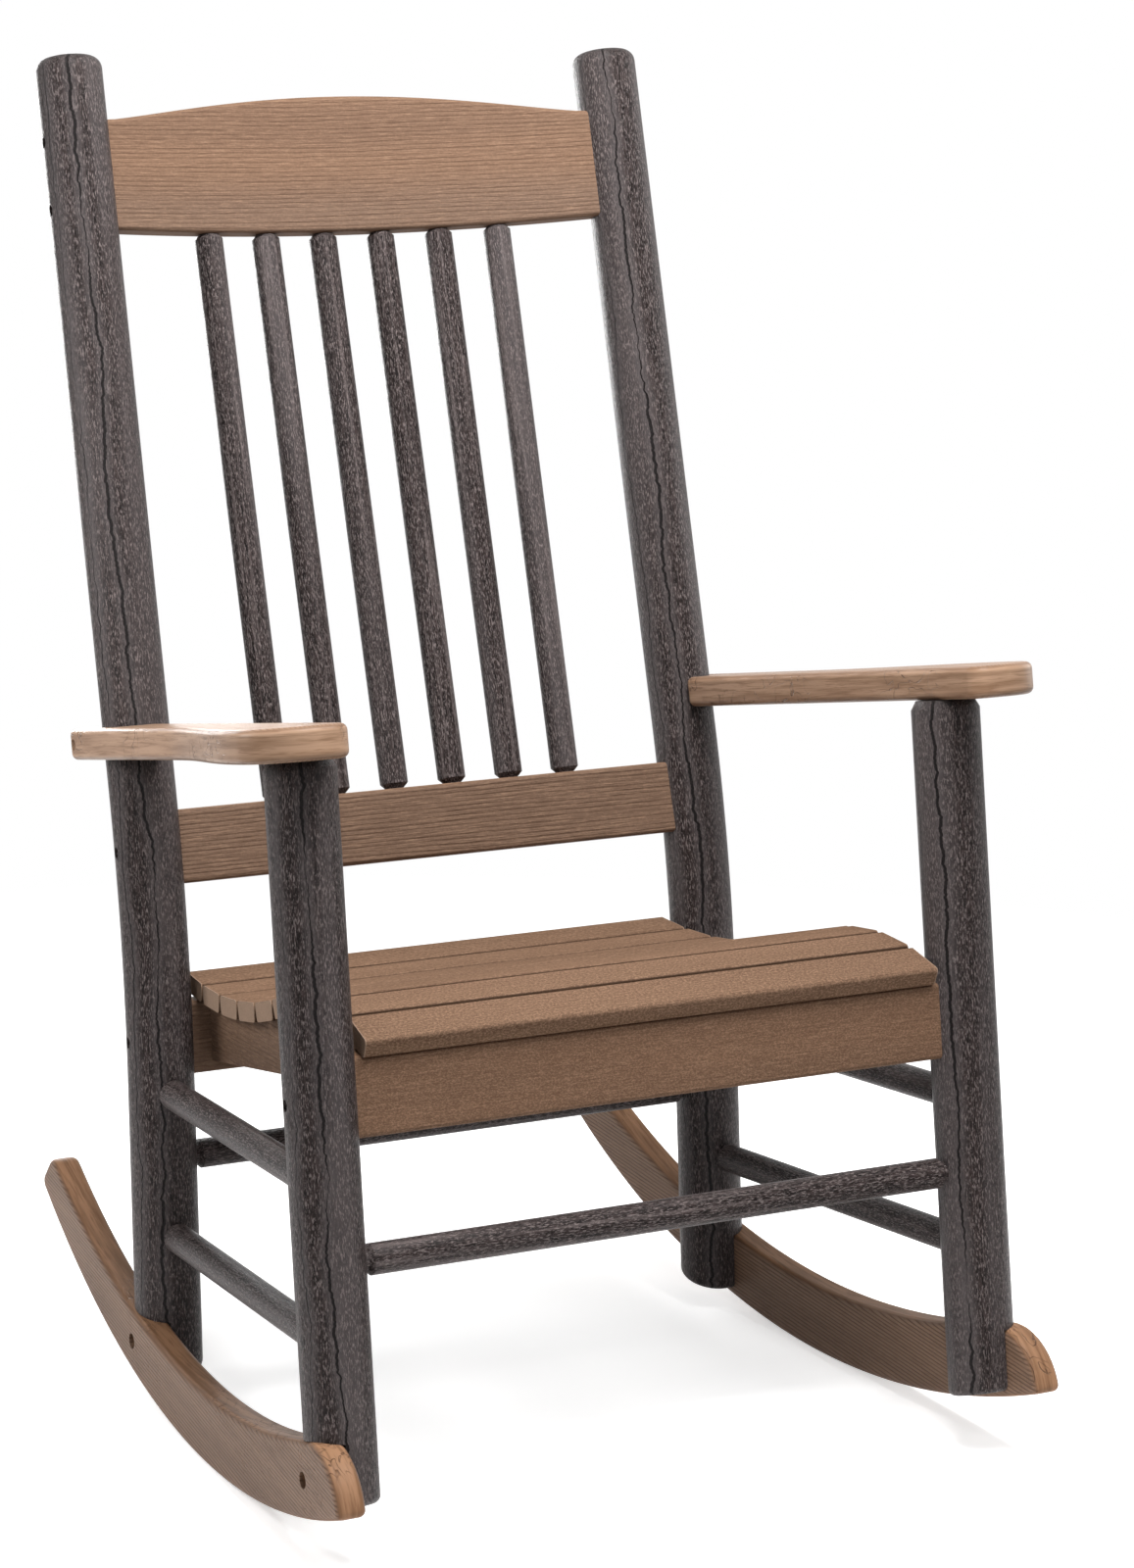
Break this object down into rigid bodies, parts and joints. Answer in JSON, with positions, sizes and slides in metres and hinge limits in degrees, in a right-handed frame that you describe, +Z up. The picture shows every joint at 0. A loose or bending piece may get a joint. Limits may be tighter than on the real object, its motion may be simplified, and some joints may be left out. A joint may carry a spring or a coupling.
{
  "type": "log rocking chair",
  "caption": "Adult rocking chair with bent round log posts, spindle back, arched crest rail, hollowed slat seat, shaped flat arms and curved board rockers.",
  "frame": {"origin": "on the floor, below the middle of the chair's width and length, with the chair standing about as in the picture", "axes": "+Z up, -Y the way a sitter faces, +X to the right as the chair is seen from its front"},
  "size_m": [0.742, 0.7877, 1.1836],
  "materials": {
    "charcoal_log": "matte, embossed wood grain with long cracks",
    "tan_board": "satin, embossed wood grain",
    "dark_steel": "satin"
  },
  "bodies": {
    "root": {"back_spindle_1": "charcoal_log", "back_spindle_2": "charcoal_log", "back_spindle_3": "charcoal_log", "back_spindle_4": "charcoal_log", "back_spindle_5": "charcoal_log", "back_spindle_6": "charcoal_log", "crest_rail": "tan_board", "front_apron": "tan_board", "front_stretcher": "charcoal_log", "left_armrest": "tan_board", "left_armrest_front_screw": "dark_steel", "left_armrest_rear_screw": "dark_steel", "left_crest_rail_lower_screw": "dark_steel", "left_crest_rail_upper_screw": "dark_steel", "left_front_apron_screw": "dark_steel", "left_front_post": "charcoal_log", "left_lower_back_rail_screw": "dark_steel", "left_lower_stretcher": "charcoal_log", "left_rear_post": "charcoal_log", "left_rear_seat_rail_screw": "dark_steel", "left_rocker": "tan_board", "left_rocker_front_screw": "dark_steel", "left_rocker_rear_screw": "dark_steel", "left_seat_support": "tan_board", "left_upper_stretcher": "charcoal_log", "lower_back_rail": "tan_board", "rear_seat_rail": "tan_board", "rear_stretcher": "charcoal_log", "right_armrest": "tan_board", "right_armrest_front_screw": "dark_steel", "right_armrest_rear_screw": "dark_steel", "right_crest_rail_lower_screw": "dark_steel", "right_crest_rail_upper_screw": "dark_steel", "right_front_apron_screw": "dark_steel", "right_front_post": "charcoal_log", "right_lower_back_rail_screw": "dark_steel", "right_lower_stretcher": "charcoal_log", "right_rear_post": "charcoal_log", "right_rear_seat_rail_screw": "dark_steel", "right_rocker": "tan_board", "right_rocker_front_screw": "dark_steel", "right_rocker_rear_screw": "dark_steel", "right_seat_support": "tan_board", "right_upper_stretcher": "charcoal_log", "seat_slat_01": "tan_board", "seat_slat_02": "tan_board", "seat_slat_03": "tan_board", "seat_slat_04": "tan_board", "seat_slat_05": "tan_board", "seat_slat_06": "tan_board", "seat_slat_07": "tan_board", "seat_slat_08": "tan_board", "seat_slat_09": "tan_board", "seat_slat_10": "tan_board"}
  },
  "joints": []
}
